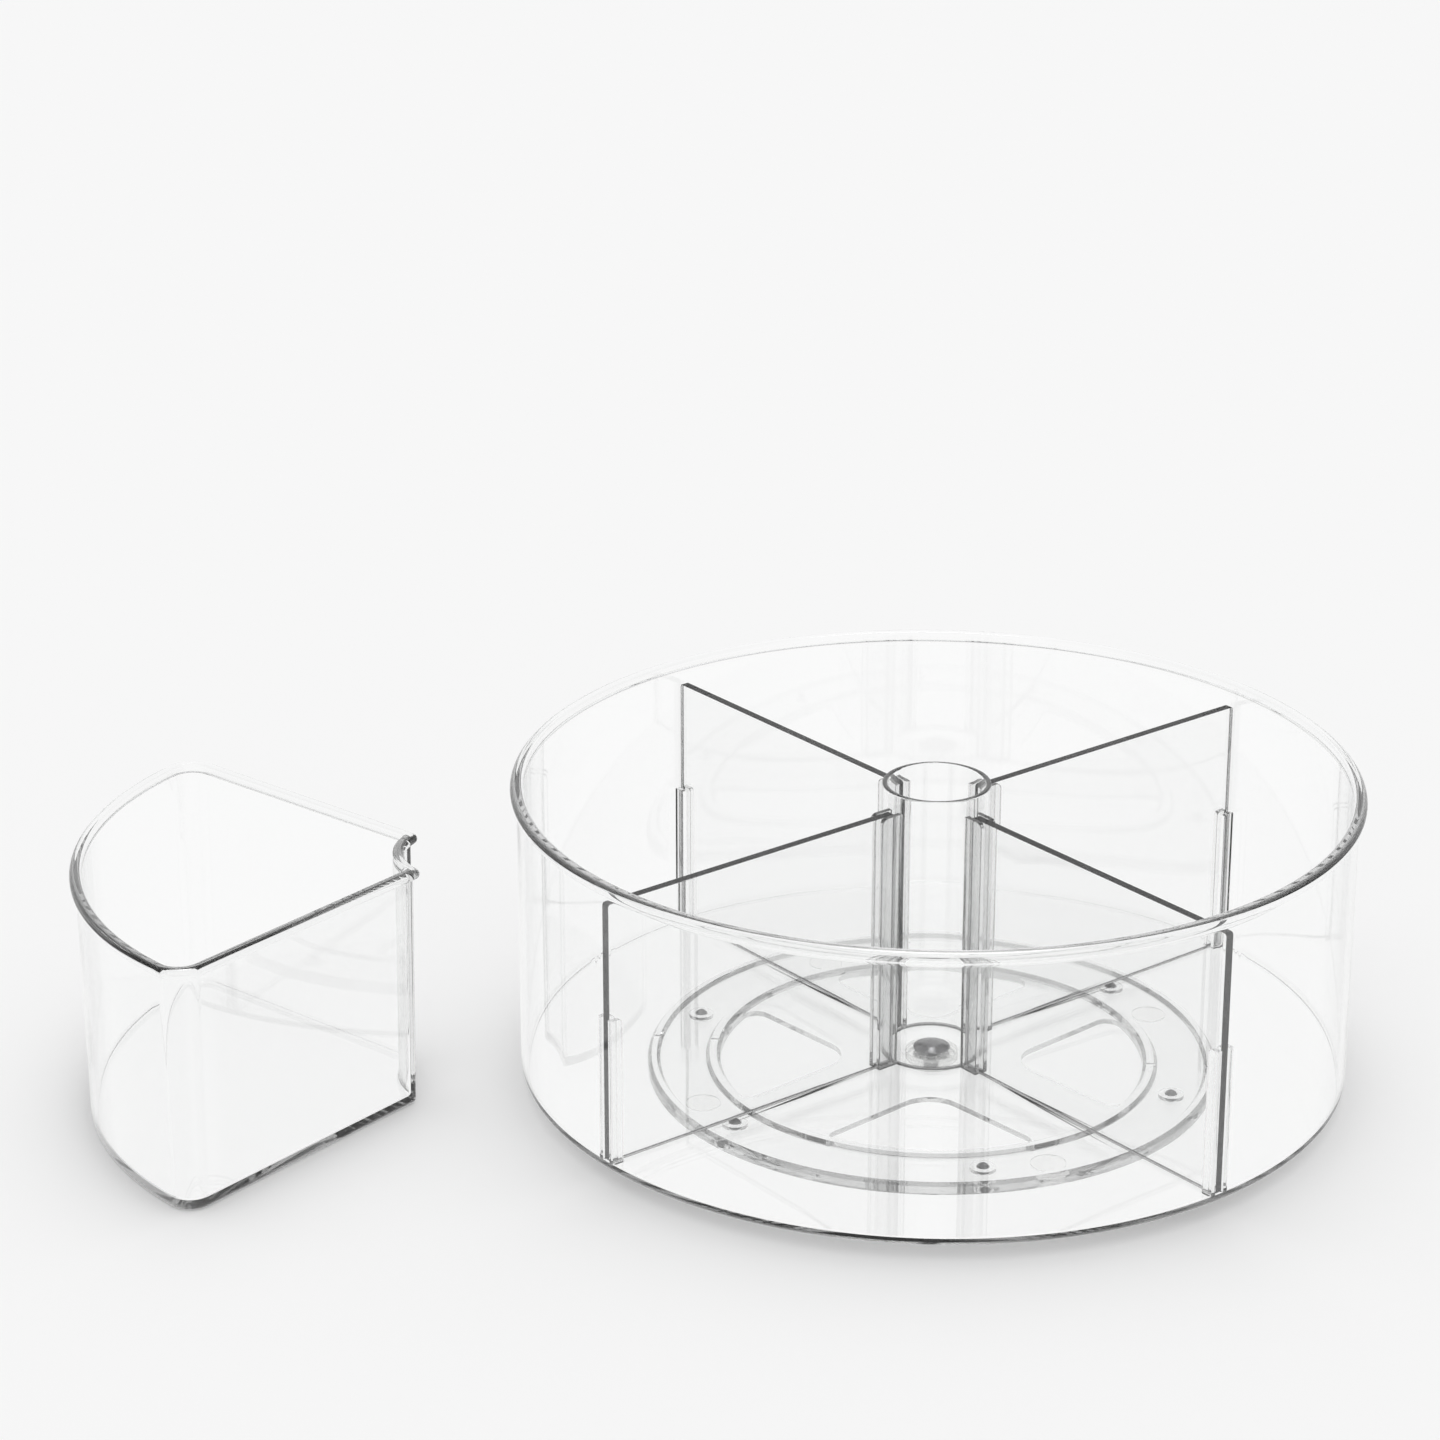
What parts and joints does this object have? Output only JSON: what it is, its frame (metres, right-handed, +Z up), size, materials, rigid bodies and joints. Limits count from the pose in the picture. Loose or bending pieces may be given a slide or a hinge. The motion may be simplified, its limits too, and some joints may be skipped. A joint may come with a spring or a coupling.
{
  "type": "divided turntable",
  "caption": "Clear round kitchen turntable with a rimmed tray, lift-out radial dividers, a hollow centre post, a ball-bearing base and a loose wedge-shaped bin.",
  "frame": {"origin": "on the tray's spin axis, at the table plane that the pads stand on", "axes": "+Z up along the spin axis; the loose bin stands towards -X; millimetre model stored in metres"},
  "size_m": [0.4408, 0.292, 0.1088],
  "materials": {
    "tray_plastic": "clear moulded plastic, polished on both sides",
    "base_plastic": "clear moulded plastic, polished",
    "bin_plastic": "clear moulded plastic, polished on both sides",
    "divider_plastic": "clear flat plastic plate, polished faces",
    "ball_steel": "polished bearing steel",
    "rivet_steel": "plain bright steel, lightly worn",
    "pad_rubber": "clear soft silicone, satin",
    "washer_plastic": "clear soft plastic, satin"
  },
  "bodies": {
    "base": {"base_ring": "base_plastic", "pivot_rivet": "rivet_steel", "upper_washer": "washer_plastic", "retaining_washer": "rivet_steel", "hub_pad": "pad_rubber", "foot_pad_1": "pad_rubber", "foot_pad_2": "pad_rubber", "foot_pad_3": "pad_rubber", "foot_pad_4": "pad_rubber"},
    "tray": {"tray": "tray_plastic", "centre_post": "tray_plastic"},
    "divider_1": {"divider_1": "divider_plastic"},
    "divider_2": {"divider_2": "divider_plastic"},
    "divider_3": {"divider_3": "divider_plastic"},
    "divider_4": {"divider_4": "divider_plastic"},
    "ball_1": {"ball_1": "ball_steel"},
    "ball_2": {"ball_2": "ball_steel"},
    "ball_3": {"ball_3": "ball_steel"},
    "ball_4": {"ball_4": "ball_steel"},
    "ball_5": {"ball_5": "ball_steel"},
    "ball_6": {"ball_6": "ball_steel"},
    "bin": {"bin": "bin_plastic"}
  },
  "joints": [
    {"name": "tray_spin", "type": "hinge", "parent": "base", "child": "tray", "pos_m": [0, 0, 0], "axis": [0, 0, 1], "continuous": true},
    {"name": "divider_1_lift", "type": "slide", "parent": "tray", "child": "divider_1", "axis": [0, 0, 1], "range_m": [0, 0.095]},
    {"name": "divider_2_lift", "type": "slide", "parent": "tray", "child": "divider_2", "axis": [0, 0, 1], "range_m": [0, 0.095]},
    {"name": "divider_3_lift", "type": "slide", "parent": "tray", "child": "divider_3", "axis": [0, 0, 1], "range_m": [0, 0.095]},
    {"name": "divider_4_lift", "type": "slide", "parent": "tray", "child": "divider_4", "axis": [0, 0, 1], "range_m": [0, 0.095]},
    {"name": "ball_1_roll", "type": "hinge", "parent": "base", "child": "ball_1", "pos_m": [0.06887, 0.05478, 0.00307], "axis": [0.7826, 0.6225, 0], "continuous": true},
    {"name": "ball_2_roll", "type": "hinge", "parent": "base", "child": "ball_2", "pos_m": [-0.01301, 0.08703, 0.00307], "axis": [-0.1478, 0.989, 0], "continuous": true},
    {"name": "ball_3_roll", "type": "hinge", "parent": "base", "child": "ball_3", "pos_m": [-0.08188, 0.03225, 0.00307], "axis": [-0.9304, 0.3665, 0], "continuous": true},
    {"name": "ball_4_roll", "type": "hinge", "parent": "base", "child": "ball_4", "pos_m": [-0.06887, -0.05478, 0.00307], "axis": [-0.7826, -0.6225, 0], "continuous": true},
    {"name": "ball_5_roll", "type": "hinge", "parent": "base", "child": "ball_5", "pos_m": [0.01301, -0.08703, 0.00307], "axis": [0.1478, -0.989, 0], "continuous": true},
    {"name": "ball_6_roll", "type": "hinge", "parent": "base", "child": "ball_6", "pos_m": [0.08188, -0.03225, 0.00307], "axis": [0.9304, -0.3665, 0], "continuous": true},
    {"name": "bin_lift", "type": "slide", "parent": "base", "child": "bin", "axis": [0, 0, 1], "range_m": [0, 0.12]}
  ],
  "couplings": [
    {"joint": "ball_1_roll", "follows": "tray_spin", "ratio": -40},
    {"joint": "ball_2_roll", "follows": "tray_spin", "ratio": -40},
    {"joint": "ball_3_roll", "follows": "tray_spin", "ratio": -40},
    {"joint": "ball_4_roll", "follows": "tray_spin", "ratio": -40},
    {"joint": "ball_5_roll", "follows": "tray_spin", "ratio": -40},
    {"joint": "ball_6_roll", "follows": "tray_spin", "ratio": -40}
  ]
}
